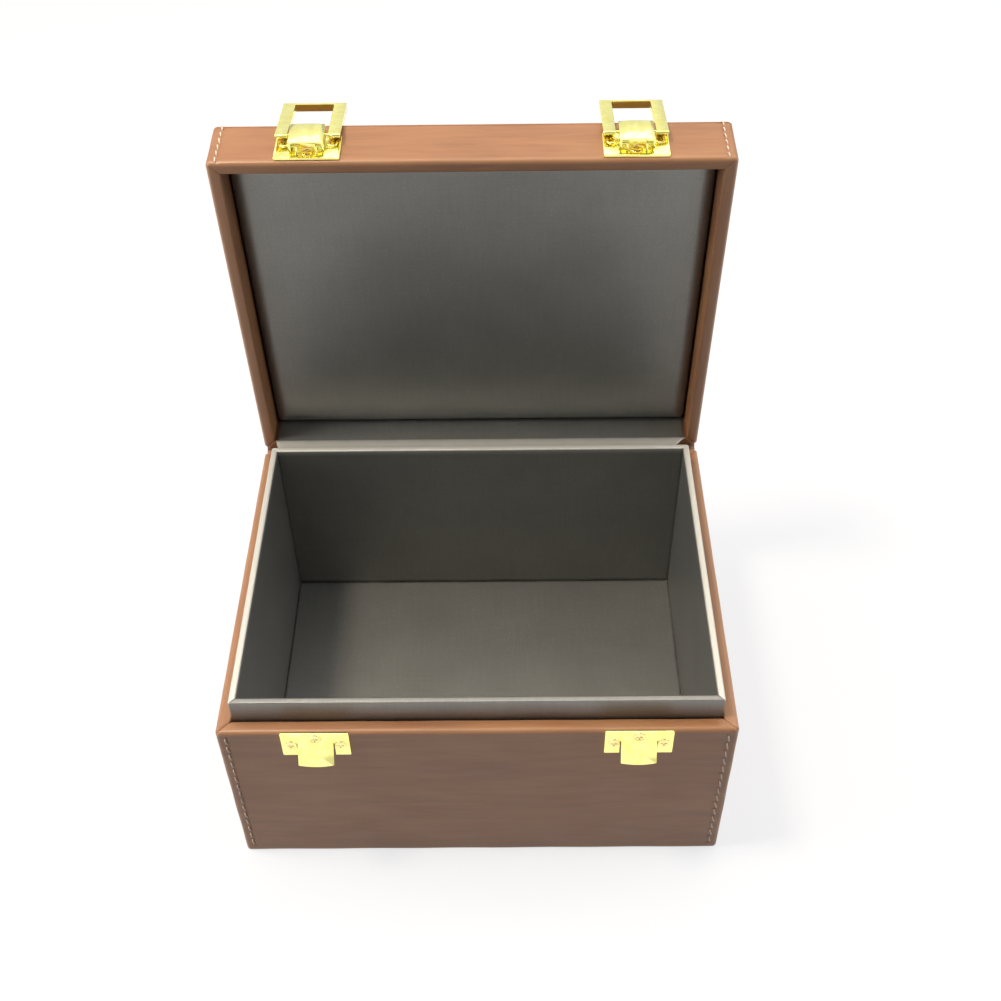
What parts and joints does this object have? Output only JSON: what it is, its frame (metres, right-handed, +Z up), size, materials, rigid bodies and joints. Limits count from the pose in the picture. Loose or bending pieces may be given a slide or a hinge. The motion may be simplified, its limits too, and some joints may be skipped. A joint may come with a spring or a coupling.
{
  "type": "faraday key box",
  "caption": "Hinged leather-covered box with a conductive fabric liner and two draw latches on its front, for keeping keys and fobs shielded",
  "frame": {"origin": "middle of the underside", "axes": "X across the width, Y from the front face to the back, Z up"},
  "size_m": [0.16, 0.1538, 0.2006],
  "materials": {
    "leather": "satin tan faux leather with a faint long grain",
    "conductive_fabric": "grey metallised woven fabric with a soft sheen",
    "board": "raw fibreboard, hidden",
    "card": "grey card, hidden",
    "foam": "soft padding, hidden",
    "thread": "cream sewing thread",
    "gilt_steel": "polished gold-coloured plating",
    "screw_steel": "polished gold-coloured plating"
  },
  "bodies": {
    "box": {"body_board_front": "board", "body_leather_front": "leather", "liner_board_front": "board", "liner_fabric_front": "conductive_fabric", "body_board_back": "board", "body_leather_back": "leather", "liner_board_back": "board", "liner_fabric_back": "conductive_fabric", "body_board_left": "board", "body_leather_left": "leather", "liner_board_left": "board", "liner_fabric_left": "conductive_fabric", "body_board_right": "board", "body_leather_right": "leather", "liner_board_right": "board", "liner_fabric_right": "conductive_fabric", "body_board_floor": "board", "body_leather_bottom": "leather", "liner_board_floor": "board", "liner_fabric_floor": "conductive_fabric", "body_stitching": "thread", "hinge_leather": "leather", "hinge_fabric": "conductive_fabric", "left_catch": "gilt_steel", "left_catch_screws": "screw_steel", "right_catch": "gilt_steel", "right_catch_screws": "screw_steel"},
    "lid": {"lid_board_front": "board", "lid_leather_front": "leather", "lid_board_back": "board", "lid_leather_back": "leather", "lid_board_left": "board", "lid_leather_left": "leather", "lid_board_right": "board", "lid_leather_right": "leather", "lid_board_top": "board", "lid_leather_top": "leather", "lid_panel_board": "card", "lid_panel_fabric": "conductive_fabric", "lid_padding": "foam", "lid_stitching": "thread", "left_latch_base": "gilt_steel", "left_lever_pins": "gilt_steel", "left_latch_screws": "screw_steel", "right_latch_base": "gilt_steel", "right_lever_pins": "gilt_steel", "right_latch_screws": "screw_steel"},
    "left_lever": {"left_latch_lever": "gilt_steel", "left_bail_pins": "gilt_steel"},
    "left_bail": {"left_bail": "gilt_steel"},
    "right_lever": {"right_latch_lever": "gilt_steel", "right_bail_pins": "gilt_steel"},
    "right_bail": {"right_bail": "gilt_steel"}
  },
  "joints": [
    {"name": "lid_hinge", "type": "hinge", "parent": "box", "child": "lid", "pos_m": [0, 0.06275, 0.0694], "axis": [-1, 0, 0], "range_deg": [-86, 0], "deforming": ["hinge_leather", "hinge_fabric"]},
    {"name": "left_lever_pivot", "type": "hinge", "parent": "lid", "child": "left_lever", "pos_m": [-0.0495, 0.05828, 0.19785], "axis": [1, 0, 0], "range_deg": [0, 90]},
    {"name": "left_bail_pivot", "type": "hinge", "parent": "left_lever", "child": "left_bail", "pos_m": [-0.0495, 0.06397, 0.1982], "axis": [-1, 0, 0], "range_deg": [-193.28, 0]},
    {"name": "right_lever_pivot", "type": "hinge", "parent": "lid", "child": "right_lever", "pos_m": [0.0495, 0.05828, 0.19785], "axis": [1, 0, 0], "range_deg": [0, 90]},
    {"name": "right_bail_pivot", "type": "hinge", "parent": "right_lever", "child": "right_bail", "pos_m": [0.0495, 0.06397, 0.1982], "axis": [-1, 0, 0], "range_deg": [-193.28, 0]}
  ]
}
